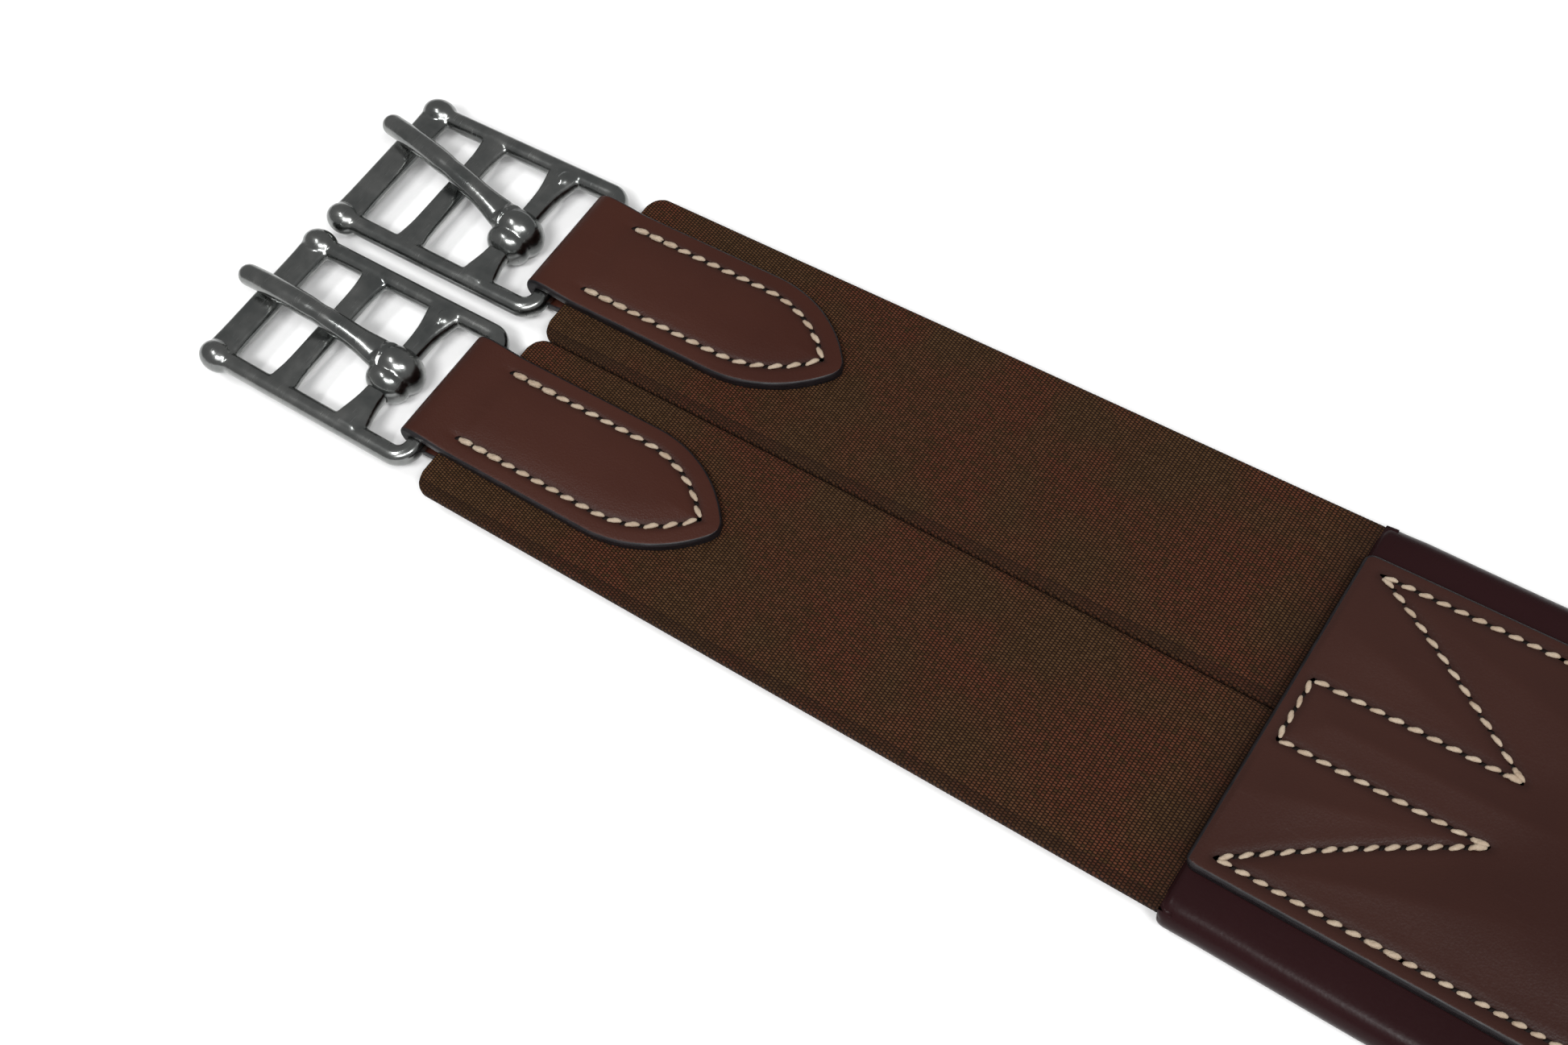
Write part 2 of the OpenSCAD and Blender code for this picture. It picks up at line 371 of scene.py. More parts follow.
# An awl hole: its slant to the seam in radians, its size and how far it stands out of and into the leather
HOLE_SIDES = 10
HOLE_SLANT = 0.85
HOLE_HALF_LONG = 0.95
HOLE_HALF_WIDE = 0.42
HOLE_PROUD = 0.06
HOLE_DEEP = 0.3


def awl_hole_shade(point, run, height, face):
    """Slanted slit that the thread goes down into, drawn as a dark slab whose near-black is painted shade
    inside the slit.
    """
    turn = math.atan2(run[1], run[0]) + HOLE_SLANT * face
    along = np.array([cos(turn), sin(turn)])
    side = np.array([-along[1], along[0]])
    rim = [
        point + along * HOLE_HALF_LONG * cos(a) + side * HOLE_HALF_WIDE * sin(a)
        for a in np.linspace(0, 2 * pi, HOLE_SIDES, endpoint=False)
    ]
    top = height + face * HOLE_PROUD
    base = height - face * HOLE_DEEP
    verts = [(p[0], p[1], top) for p in rim] + [(p[0], p[1], base) for p in rim]
    verts += [(point[0], point[1], top), (point[0], point[1], base)]
    faces = []
    for k in range(HOLE_SIDES):
        n = (k + 1) % HOLE_SIDES
        faces.append((k, n, HOLE_SIDES + n, HOLE_SIDES + k))
        faces.append((k, n, 2 * HOLE_SIDES))
        faces.append((HOLE_SIDES + k, HOLE_SIDES + n, 2 * HOLE_SIDES + 1))
    return verts, faces, [1] * len(faces)


# The strap's thread, and how far a stitch turns from its seam in radians. A doubled stitch has one thread
# nearly straight and one well slanted over it.
THREAD_R = 0.43
STITCH_SLANT = 0.24
SLANT_UNDER = 0.05
SLANT_OVER = 0.3


def seam_parts(line, pitch, height_at, thick=THREAD_R, face=1, doubled=()):
    """Stitches and their awl holes along a polyline. doubled are the stitches sewn over twice."""
    parts = []
    runs = list(walk(line, pitch))
    for i, (middle, run) in enumerate(runs):
        base = height_at(middle)
        if i in doubled or i - len(runs) in doubled:
            parts.append(stitch(middle, run * 1.05, base + face * 0.12, thick * 1.22, SLANT_UNDER, face))
            parts.append(stitch(middle + run * 0.12, run * 0.9, base + face * 0.3, thick, SLANT_OVER, face))
        else:
            parts.append(stitch(middle, run, base, thick * random.uniform(0.94, 1.06), STITCH_SLANT, face))
        parts.append(awl_hole_shade(middle - run / 2, run, height_at(middle - run / 2), face))
    end_middle, end_run = runs[-1]
    parts.append(awl_hole_shade(end_middle + end_run / 2, end_run, height_at(end_middle + end_run / 2), face))
    return parts


# ---------- materials
class Nodes:
    """Builds one material's node tree with few words."""

    def __init__(self, name):
        self.material = bpy.data.materials.new(name)
        self.material.use_nodes = True
        self.tree = self.material.node_tree
        self.shader = self.tree.nodes["Principled BSDF"]

    def add(self, kind, inputs=None, **settings):
        node = self.tree.nodes.new("ShaderNode" + kind)
        for key, value in settings.items():
            setattr(node, key, value)
        for key, value in (inputs or {}).items():
            if isinstance(value, bpy.types.NodeSocket):
                self.tree.links.new(value, node.inputs[key])
            else:
                node.inputs[key].default_value = value
        return node

    def math(self, operation, a, b=0.0):
        return self.add("Math", {0: a, 1: b}, operation=operation).outputs[0]

    def times(self, a, b):
        return self.math("MULTIPLY", a, b)

    def mix(self, factor, a, b):
        node = self.add("Mix", data_type="RGBA", blend_type="MIX")
        for key, kind, value in (("Factor", "VALUE", factor), ("A", "RGBA", a), ("B", "RGBA", b)):
            socket = next(s for s in node.inputs if s.name == key and s.type == kind)
            if isinstance(value, bpy.types.NodeSocket):
                self.tree.links.new(value, socket)
            else:
                socket.default_value = value
        return next(s for s in node.outputs if s.type == "RGBA")

    def ramp(self, value, low, high, out_low=0.0, out_high=1.0):
        limits = {"From Min": low, "From Max": high, "To Min": out_low, "To Max": out_high}
        return self.add("MapRange", {"Value": value, **limits}).outputs["Result"]

    def noise(self, where, scale, detail=3.0, roughness=0.55):
        inputs = {"Vector": where, "Scale": scale, "Detail": detail, "Roughness": roughness}
        return self.add("TexNoise", inputs).outputs["Fac"]

    def place(self, kind="Object"):
        return self.add("TexCoord").outputs[kind]

    def link(self, value, socket):
        self.tree.links.new(value, self.shader.inputs[socket])

    def set(self, **values):
        for key, value in values.items():
            self.shader.inputs[key.replace("_", " ").title().replace("Ior", "IOR")].default_value = value

    def bump(self, height, strength, distance, under=None):
        inputs = {"Height": height, "Strength": strength, "Distance": distance}
        if under is not None:
            inputs["Normal"] = under
        return self.add("Bump", inputs).outputs["Normal"]


def rgba(red, green, blue):
    """Linear colour from 0-255 sRGB values."""
    def linear(v):
        v /= 255
        return v / 12.92 if v <= 0.04045 else ((v + 0.055) / 1.055) ** 2.4
    return (linear(red), linear(green), linear(blue), 1.0)


# Painted shade colour for the leather along its seam grooves
PAINTED_SEAM_SHADE_COLOUR = rgba(26, 13, 10)


def leather(name, base, deep, bright, gloss, grain, grain_depth, shine):
    """Dyed leather: mottled colour, follicle grain, faint scuffs, a waxed top and painted shade along its
    seams.
    gloss is its mean roughness, grain the number of pores a metre, grain_depth how strongly they show and
    shine its specular level."""
    n = Nodes(name)
    where = n.place()
    mottle = n.ramp(n.noise(where, scale=26, detail=4), 0.32, 0.68)
    cloud = n.ramp(n.noise(where, scale=7, detail=2), 0.35, 0.65)
    pores = n.add("TexVoronoi", {"Vector": where, "Scale": grain, "Randomness": 1.0}).outputs["Distance"]
    fine = n.noise(where, scale=grain * 0.9, detail=5, roughness=0.7)
    stretch = n.add("Mapping", {"Vector": where, "Scale": (60, 900, 400)}).outputs["Vector"]
    scuff = n.ramp(n.noise(stretch, scale=1, detail=2), 0.66, 0.8)
    leather_colour = n.mix(mottle, deep, base)
    leather_colour = n.mix(n.times(cloud, 0.45), leather_colour, bright)
    leather_colour = n.mix(n.times(n.ramp(pores, 0.0, 0.25, 1.0, 0.0), 0.25), leather_colour, deep)
    leather_colour = n.mix(n.times(scuff, 0.10), leather_colour, bright)
    # Painted shade: the leather darkens along its seam grooves
    painted_seam_shade = n.add("Attribute", attribute_name="painted_seam_shade").outputs["Fac"]
    leather_colour = n.mix(n.times(painted_seam_shade, 0.6), leather_colour, PAINTED_SEAM_SHADE_COLOUR)
    n.link(leather_colour, "Base Color")
    rough = n.math("ADD", n.ramp(fine, 0.3, 0.7, gloss - 0.05, gloss + 0.07), n.times(scuff, 0.08))
    n.link(rough, "Roughness")
    creases = n.bump(n.noise(where, scale=120, detail=3), 0.12, 0.0006)
    skin = n.math("ADD", n.times(pores, 0.6), n.times(fine, 0.5))
    n.link(n.bump(skin, grain_depth, 0.00025, creases), "Normal")
    n.set(specular_ior_level=shine)
    return n.material


def inked_edge():
    """Burnished leather edge, almost black."""
    n = Nodes("inked_edge")
    where = n.place()
    fibre = n.add("Mapping", {"Vector": where, "Scale": (250, 250, 2600)}).outputs["Vector"]
    layers = n.noise(fibre, scale=1, detail=4)
    n.link(n.mix(n.ramp(layers, 0.3, 0.75), rgba(12, 12, 15), rgba(34, 28, 30)), "Base Color")
    n.link(n.ramp(layers, 0.3, 0.7, 0.38, 0.55), "Roughness")
    n.set(specular_ior_level=0.3)
    n.link(n.bump(layers, 0.25, 0.0003), "Normal")
    return n.material


# The elastic's weave: rib and thread float pitch, each row's shift as a share of a float, and the edge strip
RIB = 0.8
FLOAT_PITCH = 0.58
FLOAT_SHIFT = 0.36
SELVEDGE = 2.3
OLIVE_THREAD = rgba(64, 43, 22)
RED_THREAD = rgba(82, 31, 19)
PALE_THREAD = rgba(98, 70, 46)
# Painted shade for the elastic just outside the body's mouth
SHADED_THREAD = rgba(30, 18, 12)
SELVEDGE_THREAD = rgba(30, 17, 11)
# Painted shade for the hollows between the thread floats
SHADE_BETWEEN_THREADS = rgba(25, 12, 6)


def selvedge(n, across):
    """How dark the elastic is beside its woven edge: a denser strip that ends in a thin line."""
    strip = n.ramp(across, (SELVEDGE - 0.4) * MM, (SELVEDGE + 0.1) * MM, 0.42, 0.0)
    off = n.math("DIVIDE", n.math("SUBTRACT", across, SELVEDGE * MM), 0.2 * MM)
    line = n.math("EXPONENT", n.times(n.times(off, off), -1.0))
    return n.math("MAXIMUM", strip, n.times(line, 0.75))


def elastic_weave():
    """Fine ribbed elastic: staggered thread floats in olive brown, shot with red brown, with painted shade
    between the floats and before the body's mouth.
    """
    n = Nodes("elastic_weave")
    uv = n.place("UV")
    split = n.add("SeparateXYZ", {"Vector": uv})
    along, across = split.outputs["X"], split.outputs["Y"]
    rib = n.math("DIVIDE", along, RIB * MM)
    row = n.math("FLOOR", rib)
    in_rib = n.math("FRACT", rib)
    floats = n.math("DIVIDE", across, FLOAT_PITCH * MM)
    shifted = n.math("ADD", floats, n.times(row, FLOAT_SHIFT))
    column = n.math("FLOOR", shifted)
    in_float = n.math("FRACT", shifted)
    hump_x = n.math("SINE", n.times(in_rib, pi))
    hump_y = n.math("SINE", n.times(in_float, pi))
    hump = n.times(n.math("POWER", hump_x, 0.5), n.math("POWER", hump_y, 0.7))
    cell = n.add("CombineXYZ", {"X": row, "Y": column}).outputs[0]
    chance = n.add("TexWhiteNoise", {"Vector": cell}).outputs["Value"]
    patch = n.ramp(n.noise(uv, scale=34, detail=3, roughness=0.6), 0.42, 0.58)
    streak_place = n.add("Mapping", {"Vector": uv, "Scale": (60, 900, 1)}).outputs["Vector"]
    streak = n.noise(streak_place, scale=1, detail=2)
    red = n.times(patch, n.ramp(n.math("ADD", chance, streak), 0.45, 1.2))
    thread = n.mix(red, OLIVE_THREAD, RED_THREAD)
    thread = n.mix(n.times(chance, 0.45), thread, PALE_THREAD)
    # Painted shade: the threads darken over the last 9 mm before the body's mouth, where the strap's end
    # shades the elastic.
    painted_mouth_shade = n.ramp(along, (MOUTH_X - 9) * MM, (MOUTH_X - 0.5) * MM, 0.0, 0.5)
    thread = n.mix(painted_mouth_shade, thread, SHADED_THREAD)
    thread = n.mix(selvedge(n, across), thread, SELVEDGE_THREAD)
    # Painted shade: the low parts between the floats take a near-black colour, where shade falls between
    # threads.
    n.link(n.mix(n.ramp(hump, 0.35, 0.85), SHADE_BETWEEN_THREADS, thread), "Base Color")
    n.set(roughness=0.85, specular_ior_level=0.12)
    under = n.bump(n.noise(uv, scale=160, detail=2), 0.15, 0.0004)
    n.link(n.bump(hump, 0.8, 0.00025, under), "Normal")
    return n.material


def waxed_thread(name, base, deep):
    """Twisted thread, soiled in patches."""
    n = Nodes(name)
    where = n.place()
    fibre = n.noise(where, scale=4200, detail=3)
    soil = n.ramp(n.noise(where, scale=300, detail=2), 0.35, 0.7)
    n.link(n.mix(n.times(soil, 0.6), n.mix(fibre, base, deep), deep), "Base Color")
    n.link(n.bump(fibre, 0.4, 0.0001), "Normal")
    n.set(roughness=0.62, specular_ior_level=0.1)
    return n.material


def cast_steel():
    """Polished stainless casting with faint handling marks."""
    n = Nodes("cast_steel")
    where = n.place()
    cloud = n.noise(where, scale=160, detail=4)
    fine = n.noise(where, scale=1400, detail=3)
    brush = n.add("Mapping", {"Vector": where, "Scale": (2600, 240, 700)}).outputs["Vector"]
    marks = n.ramp(n.noise(brush, scale=1, detail=2), 0.62, 0.75)
    n.link(n.mix(n.ramp(cloud, 0.3, 0.7), rgba(114, 117, 116), rgba(142, 143, 141)), "Base Color")
    rough = n.math("ADD", n.ramp(cloud, 0.3, 0.7, 0.17, 0.27), n.times(marks, 0.12))
    n.link(rough, "Roughness")
    n.link(n.bump(fine, 0.06, 0.0002, n.bump(cloud, 0.10, 0.0006)), "Normal")
    n.set(metallic=1.0)
    return n.material


def foam():
    """Grey closed-cell foam."""
    n = Nodes("closed_cell_foam")
    cells = n.add("TexVoronoi", {"Vector": n.place(), "Scale": 900}).outputs["Distance"]
    n.link(n.mix(cells, rgba(50, 50, 52), rgba(86, 86, 88)), "Base Color")
    n.link(n.bump(cells, 0.5, 0.0004), "Normal")
    n.set(roughness=0.9)
    return n.material


def woven_web():
    """Black woven webbing."""
    n = Nodes("woven_web")
    weave = n.add("TexWave", {"Vector": n.place(), "Scale": 420, "Distortion": 1.0}).outputs["Fac"]
    n.link(n.mix(weave, rgba(12, 12, 13), rgba(40, 39, 40)), "Base Color")
    n.link(n.bump(weave, 0.6, 0.0003), "Normal")
    n.set(roughness=0.85)
    return n.material


CHAPE_LEATHER = leather(
    "chape_leather", base=rgba(56, 28, 20), deep=rgba(47, 21, 15), bright=rgba(70, 40, 32),
    gloss=0.36, grain=2300, grain_depth=0.2, shine=0.16,
)
STRAP_LEATHER = leather(
    "strap_leather", base=rgba(47, 25, 19), deep=rgba(38, 18, 14), bright=rgba(60, 36, 31),
    gloss=0.3, grain=2300, grain_depth=0.15, shine=0.19,
)
LINING_LEATHER = leather(
    "lining_leather", base=rgba(33, 15, 16), deep=rgba(25, 10, 11), bright=rgba(42, 22, 24),
    gloss=0.3, grain=1500, grain_depth=0.08, shine=0.08,
)
EDGE = inked_edge()
ELASTIC = elastic_weave()
THREAD = waxed_thread("cream_thread", rgba(190, 178, 160), rgba(140, 118, 98))
# Painted shade inside the awl slits: near-black, on the thread's material
HOLE_SHADE = waxed_thread("awl_hole_shade", rgba(20, 12, 10), rgba(12, 7, 6))
STEEL = cast_steel()


# ---------- straps
EDGE_STEPS = 5
LOW_EDGE = 0.5
INKED = 0.72


def slab_section(half, thick, edge, cells, under_cells):
    """(y, h) points round a strap's section, top first. The upper edges are rounded more than the lower."""
    edge = min(edge, half * 0.8)
    low_edge = edge * LOW_EDGE
    top = [(y, thick) for y in np.linspace(-(half - edge), half - edge, cells + 1)]
    arc = np.linspace(0, pi / 2, EDGE_STEPS + 1)[1:]
    right = [(half - edge + edge * sin(a), thick - edge + edge * cos(a)) for a in arc]
    right += [(half, low_edge)]
    in_from = half - low_edge
    right += [(in_from + low_edge * cos(a), low_edge - low_edge * sin(a)) for a in arc[1::2]]
    bottom = [(y, 0) for y in np.linspace(half - low_edge, low_edge - half, under_cells + 1)][1:-1]
    left = [(-y, h) for y, h in reversed(right)]
    return top + right + bottom + left


def slab_side_material(half, thick, edge, cells, under_cells):
    """Material of each side of slab_section: leather on both faces, ink on the edges."""
    points = slab_section(half, thick, edge, cells, under_cells)
    count = len(points)
    sides = []
    for j in range(count):
        y = (points[j][0] + points[(j + 1) % count][0]) / 2
        sides.append(1 if abs(y) > half - edge * INKED else 0)
    return sides


# Where the strap's seams lie from its edges and end, and the relief that they pull into the leather
STRAP_SEAM_IN = 3.5
TAB_ROW = 6.9
TAB_IN = 3.3
CORNER_IN = 4.6
VEE_IN = 43.0
SEAM_BOW = 0.9
PUFF = 1.75
PUFF_REACH = 9
GROOVE = 0.42
GROOVE_REACH = 1.0
RIPPLE = 0.05


def end_zigzag(turn):
    """The zigzag at one end of the body, as polylines in (x, y): two diagonals and the tab."""
    row = STRAP_HALF_WIDE - STRAP_SEAM_IN
    corner_x = CORNER_IN - STRAP_HALF_LONG
    vee_x = VEE_IN - STRAP_HALF_LONG
    tab_x = TAB_IN - STRAP_HALF_LONG
    lines = [
        bowed((corner_x, row), (vee_x, TAB_ROW), SEAM_BOW),
        [(vee_x, TAB_ROW), (tab_x, TAB_ROW)],
        [(tab_x, TAB_ROW), (tab_x, -TAB_ROW)],
        [(tab_x, -TAB_ROW), (vee_x, -TAB_ROW)],
        bowed((vee_x, -TAB_ROW), (corner_x, -row), SEAM_BOW),
    ]
    return [[np.array(p) * turn for p in line] for line in lines]


def edge_row(side):
    """The stitch row along one long edge, as its two ends."""
    row = side * (STRAP_HALF_WIDE - STRAP_SEAM_IN)
    reach = STRAP_HALF_LONG - CORNER_IN
    return [np.array([-reach, row]), np.array([reach, row])]


STRAP_SEAMS = end_zigzag(1) + end_zigzag(-1) + [edge_row(1), edge_row(-1)]


def seam_distance(points):
    """Distance from each (x, y) point to the strap's nearest seam."""
    near = np.full(len(points), 1e9)
    for line in STRAP_SEAMS:
        near = np.minimum(near, polyline_distance(points, line))
    return near


def strap_relief(points):
    """How far the strap's top stands off its plain thickness: grooves at the seams, puffed between."""
    points = np.atleast_2d(points)
    near = seam_distance(points)
    inside = np.clip((STRAP_HALF_WIDE - STRAP_SEAM_IN - np.abs(points[:, 1])) / 2, 0, 1)
    end_fade = np.clip((STRAP_HALF_LONG - np.abs(points[:, 0])) / 12, 0, 1)
    puff = PUFF * (1 - np.exp(-((near / PUFF_REACH) ** 2))) * inside * (0.35 + 0.65 * end_fade)
    groove = GROOVE * np.exp(-((near / GROOVE_REACH) ** 2))
    ripple = RIPPLE * np.sin(points[:, 0] / 17 + 1.3) * np.sin(points[:, 0] / 5.1 + points[:, 1] / 9)
    return puff - groove + ripple * inside


STRAP_EDGE = 0.9
FINE_END = 62


def strap_stations():
    """Where the strap's rings stand along X: close together round the zigzag at each end."""
    lip = STRAP_EDGE * (1 - np.cos(np.linspace(0, pi / 2, 7)))
    close = np.arange(1.5, FINE_END, 0.9)
    tail = STRAP_HALF_LONG - np.concatenate([lip, close])
    middle = np.arange(FINE_END - STRAP_HALF_LONG, STRAP_HALF_LONG - FINE_END, 3.0)
    return np.concatenate([-tail, middle, tail[::-1]])


def build_strap():
    cells = 84
    under_cells = 16
    corner = 2.2
    side_material = slab_side_material(STRAP_HALF_WIDE, STRAP_THICK, STRAP_EDGE, cells, under_cells)
    stations = strap_stations()
    rings, painted_seam_shade = [], []
    for x in stations:
        into = STRAP_HALF_LONG - abs(x)
        half = STRAP_HALF_WIDE
        if into < corner:
            half -= corner - math.sqrt(max(corner**2 - (corner - into) ** 2, 0))
        section = np.array(slab_section(half, STRAP_THICK, STRAP_EDGE, cells, under_cells))
        spots = np.column_stack([np.full(len(section), x), section[:, 0]])
        height = section[:, 1] + strap_relief(spots) * section[:, 1] / STRAP_THICK
        if into < STRAP_EDGE:
            drop = STRAP_EDGE - math.sqrt(STRAP_EDGE**2 - (STRAP_EDGE - into) ** 2)
            height = np.minimum(height, STRAP_THICK - 0.25 - drop)
        rings.append(np.column_stack([spots, strap_low[2] + height]))
        on_top = section[:, 1] > STRAP_THICK * 0.7
        # Painted shade along the seam grooves on the strap's top
        painted_seam_shade.append(np.exp(-((seam_distance(spots) / GROOVE_REACH) ** 2)) * on_top)
    verts, faces, materials = loft(rings, side_material, 1)
    sides = len(side_material)
    for i, (x, after) in enumerate(zip(stations[:-1], stations[1:])):
        if STRAP_HALF_LONG - abs((x + after) / 2) < STRAP_EDGE * 0.75:
            materials[i * sides:(i + 1) * sides] = [1] * sides
    marks = np.concatenate([*painted_seam_shade, [0, 0]])
    strap = make_object(
        "overlay_strap_leather", verts, faces, [STRAP_LEATHER, EDGE], materials, painted_seam_shade=marks
    )
    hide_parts("overlay_strap")
    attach(strap, "body")


# Stitch lengths along the strap. The edge rows change from wide to fine at PITCH_CHANGE from their ends.
# Every stitch starts THREAD_PROUD above the leather.
THREAD_PROUD = 0.04
WIDE_PITCH = 3.6
TAB_PITCH = 3.5
FINE_PITCH = 3.15
PITCH_CHANGE = 34.5
# The stitches sewn twice on each line of the zigzag, at its vees: the last or the first, and none on the tab
ZIGZAG_DOUBLED = ((-1,), (0,), (), (-1,), (0,))


def build_strap_stitching():
    """The zigzag at each end and a row along each long edge."""
    def height_at(point):
        return strap_high[2] + strap_relief(point)[0] + THREAD_PROUD

    parts = []
    for turn in (1, -1):
        for line, doubled in zip(end_zigzag(turn), ZIGZAG_DOUBLED):
            pitch = WIDE_PITCH if doubled else TAB_PITCH
            parts += seam_parts(line, pitch, height_at, doubled=doubled)
    for side in (1, -1):
        row = edge_row(side)
        near_end = row[0] + [PITCH_CHANGE, 0]
        off_end = row[1] - [PITCH_CHANGE, 0]
        near_doubled = (-1, -2) if side < 0 else ()
        off_doubled = (0, 1) if side > 0 else ()
        parts += seam_parts([row[0], near_end], WIDE_PITCH, height_at, doubled=near_doubled)
        parts += seam_parts([near_end, off_end], FINE_PITCH, height_at)
        parts += seam_parts([off_end, row[1]], WIDE_PITCH, height_at, doubled=off_doubled)
    verts, faces, materials = joined(parts)
    thread = make_object("overlay_stitch_thread", verts, faces, [THREAD, HOLE_SHADE], materials)
    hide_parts("overlay_stitching")
    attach(thread, "body")


# ---------- padded lining
# The cover's two flaps end under the strap at FLAP_Y. Its puckers and its sway start at SEAM_Y, just outside
# the strap. Its leather turns in at each mouth on a small radius and is pared to a share of its thickness.
FLAP_Y = 26.9
LINING_SKIN = 1.2
PARED_SKIN = 0.2
LINING_STEP = 4.0
MOUTH_ROUND = 1.7
TURNED_IN = 2.5
SEAM_Y = 38


def lining_profile():
    """Outer skin as (y, z), from one flap's edge round the roll, across beneath and up to the other."""
    r = LINING_TOP / 2
    flat_y = LINING_HALF_WIDE - r
    top = [(y, LINING_TOP) for y in np.linspace(FLAP_Y, flat_y, 8)]
    roll = [
        (flat_y + r * sin(a), r + r * cos(a)) for a in np.linspace(0, pi, 19)[1:-1]
    ]
    beneath = [(y, 0.0) for y in np.linspace(flat_y, 0, 16)]
    half = top + roll + beneath
    return np.array(half + [(-y, z) for y, z in reversed(half[:-1])])


def mouth_rings(profile):
    """(x, ring) of the off end's mouth: the profile rounds over and turns in to a slot round the elastic."""
    slot_z = FIRST.origin[2]
    slot_low = slot_z - ELASTIC_THICK / 2 - 0.15
    slot_high = slot_z + ELASTIC_THICK / 2 + 0.1
    slot_half = LINING_HALF_WIDE - 0.9
    slot_y = profile[:, 0] * (ELASTIC_HALF_WIDE * 2 + 0.6) / LINING_HALF_WIDE
    slot = np.column_stack([
        np.clip(slot_y, -slot_half, slot_half),
        np.where(profile[:, 1] < slot_z, slot_low, slot_high),
    ])
    run = slot - profile
    far = np.linalg.norm(run, axis=1)[:, None]
    rings = []
    for a in np.linspace(0, pi / 2, 6):
        inset = MOUTH_ROUND * (1 - cos(a))
        share = np.minimum(inset / np.maximum(far, 1e-6), 1)
        rings.append((LINING_HALF_LONG - MOUTH_ROUND + MOUTH_ROUND * sin(a), profile + run * share))
    for share in (0.55, 0.8, 1.0):
        rings.append((LINING_HALF_LONG, profile + run * np.maximum(share, np.minimum(MOUTH_ROUND / far, 1))))
    rings.append((LINING_HALF_LONG - TURNED_IN, slot))
    return rings


def lining_ring(x, ring):
    """One ring's points in 3-D, with the cover's sway along its rolls and puckers beside the strap."""
    y, z = ring[:, 0], ring[:, 1]
    side = np.clip((np.abs(y) - SEAM_Y) / 6, 0, 1)
    sway = 0.16 * np.sin(x / 31 + np.sign(y)) + 0.1 * np.sin(x / 11.7 + 2 * np.sign(y))
    pucker = 0.09 * np.sin(x / 3.4 + y / 3) * np.exp(-(((np.abs(y) - SEAM_Y) / 3) ** 2))
    swayed_y = y + np.sign(y) * side * sway * (abs(x) < LINING_HALF_LONG - 5)
    puckered_z = z + pucker * (z > FIRST.origin[2])
    return np.column_stack([np.full(len(y), x), swayed_y, puckered_z])


def build_lining():
    profile = lining_profile()
    mouth = mouth_rings(profile)
    stations = [(-x, ring) for x, ring in reversed(mouth)]
    plain_end = LINING_HALF_LONG - LINING_STEP
    stations += [(x, profile) for x in np.arange(-plain_end, plain_end + 0.1, LINING_STEP)]
    stations += mouth
    verts = np.concatenate([lining_ring(x, ring) for x, ring in stations])
    count, sides = len(stations), len(profile)
    faces = [
        (i * sides + j, i * sides + j + 1, (i + 1) * sides + j + 1, (i + 1) * sides + j)
        for i in range(count - 1)
        for j in range(sides - 1)
    ]
    lining = make_object("lining_leather_cover", verts, faces, [LINING_LEATHER])
    middle = Vector((0, 0, LINING_TOP / 2 * MM))
    outward = sum(face.normal.dot(face.center - middle) for face in lining.data.polygons)
    if outward < 0:
        lining.data.flip_normals()
    # The leather is pared thin where it turns in at each mouth
    pared = np.flatnonzero(np.abs(verts[:, 0]) > LINING_HALF_LONG - TURNED_IN - 0.5)
    full = lining.vertex_groups.new(name="full")
    full.add(list(range(len(verts))), 1.0, "REPLACE")
    full.add(pared.tolist(), PARED_SKIN, "REPLACE")
    skin = lining.modifiers.new("skin", "SOLIDIFY")
    skin.thickness = LINING_SKIN * MM
    skin.offset = -1
    skin.vertex_group = "full"
    lining.data = with_modifiers(lining)
    lining.modifiers.clear()
    lining.vertex_groups.clear()
    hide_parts("lining_cover")
    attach(lining, "body")


# ---------- elastic bands
# TAIL_Y is how far out a band's sewn tail reaches. UNDERSIDE_UV keeps the underside's weave off the top's.
ELASTIC_CORNER = 3.6
TAIL_Y = 41
UNDERSIDE_UV = 60


def build_elastic(band):
    stations = np.arange(0.02, ELASTIC_LONG, RIB / 2)
    half_thick = ELASTIC_THICK / 2
    rings, uvs = [], []
    for x in stations:
        half = ELASTIC_HALF_WIDE
        if x < ELASTIC_CORNER:
            half -= ELASTIC_CORNER - math.sqrt(ELASTIC_CORNER**2 - (ELASTIC_CORNER - x) ** 2)
        inside = np.clip((x - MOUTH_X) / 2.5, 0, 1)
        phase = sin(2 * pi * x / RIB)
        half = half + 0.1 * phase * (1 - inside)
        edge = min(1.0, half * 0.8)
        section = np.array(slab_section(half, ELASTIC_THICK, edge, 44, 22))
        y, h = section[:, 0], section[:, 1]
        # A tucked band narrows where it is sewn into the body
        outer_cut = (ELASTIC_HALF_WIDE - TAIL_Y + abs(band.origin[1])) * inside
        y = np.where(y * band.seam_side < 0, y * (1 - outer_cut / ELASTIC_HALF_WIDE), y)
        edge_in = ELASTIC_HALF_WIDE + y
        lines = np.exp(-(((edge_in - SELVEDGE) / 0.4) ** 2))
        wave = 0.02 * phase - 0.12 * lines + 0.06 * sin(x / 23 + band.origin[1])
        h = h + np.where(h > half_thick, wave, -wave * 0.6)
        rings.append(np.column_stack([np.full(len(y), x), y, h - half_thick]))
        uvs.append(np.column_stack([np.full(len(y), x), edge_in + (h < half_thick) * UNDERSIDE_UV]))
    verts, faces, materials = loft(rings)
    uv = np.vstack(uvs + [[[0, 0]], [[ELASTIC_LONG, 0]]])
    elastic = make_object(f"{band.name}_elastic_weave", band.place(verts), faces, [ELASTIC], materials, uv)
    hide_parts(f"{band.name}_elastic")
    start = band.place([MOUTH_X, 0, 0]) * MM
    end = band.place([CHAPE_REACH + 2, 0, 0]) * MM
    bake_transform(elastic)


